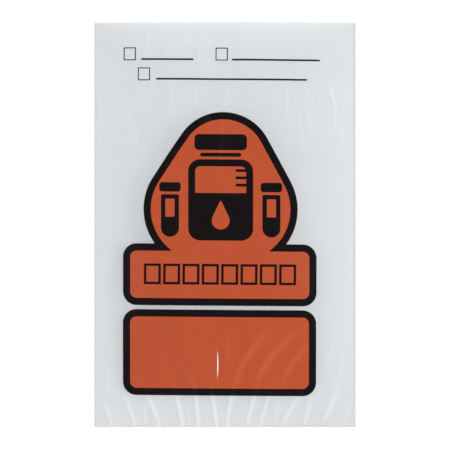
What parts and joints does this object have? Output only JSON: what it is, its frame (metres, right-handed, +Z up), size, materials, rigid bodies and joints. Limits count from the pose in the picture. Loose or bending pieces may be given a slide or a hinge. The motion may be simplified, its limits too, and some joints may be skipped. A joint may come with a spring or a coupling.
{
  "type": "specimen transport bag",
  "caption": "Flat clear film bag with an open mouth, welded on its other edges, with blank orange write-on panels, for carrying a sample.",
  "frame": {"origin": "under the middle of the bag, on the surface that its back film lies on", "axes": "+X across the bag, +Y along it towards the open mouth, +Z up through the printed front"},
  "size_m": [0.1524, 0.2356, 0.0091],
  "materials": {
    "clear_film": "clear, slightly milky polyethylene film with a soft gloss",
    "orange_ink": "printed orange ink, satin",
    "black_ink": "printed black ink, satin"
  },
  "bodies": {
    "root": {"back_film": "clear_film", "front_film": "clear_film"}
  },
  "joints": []
}
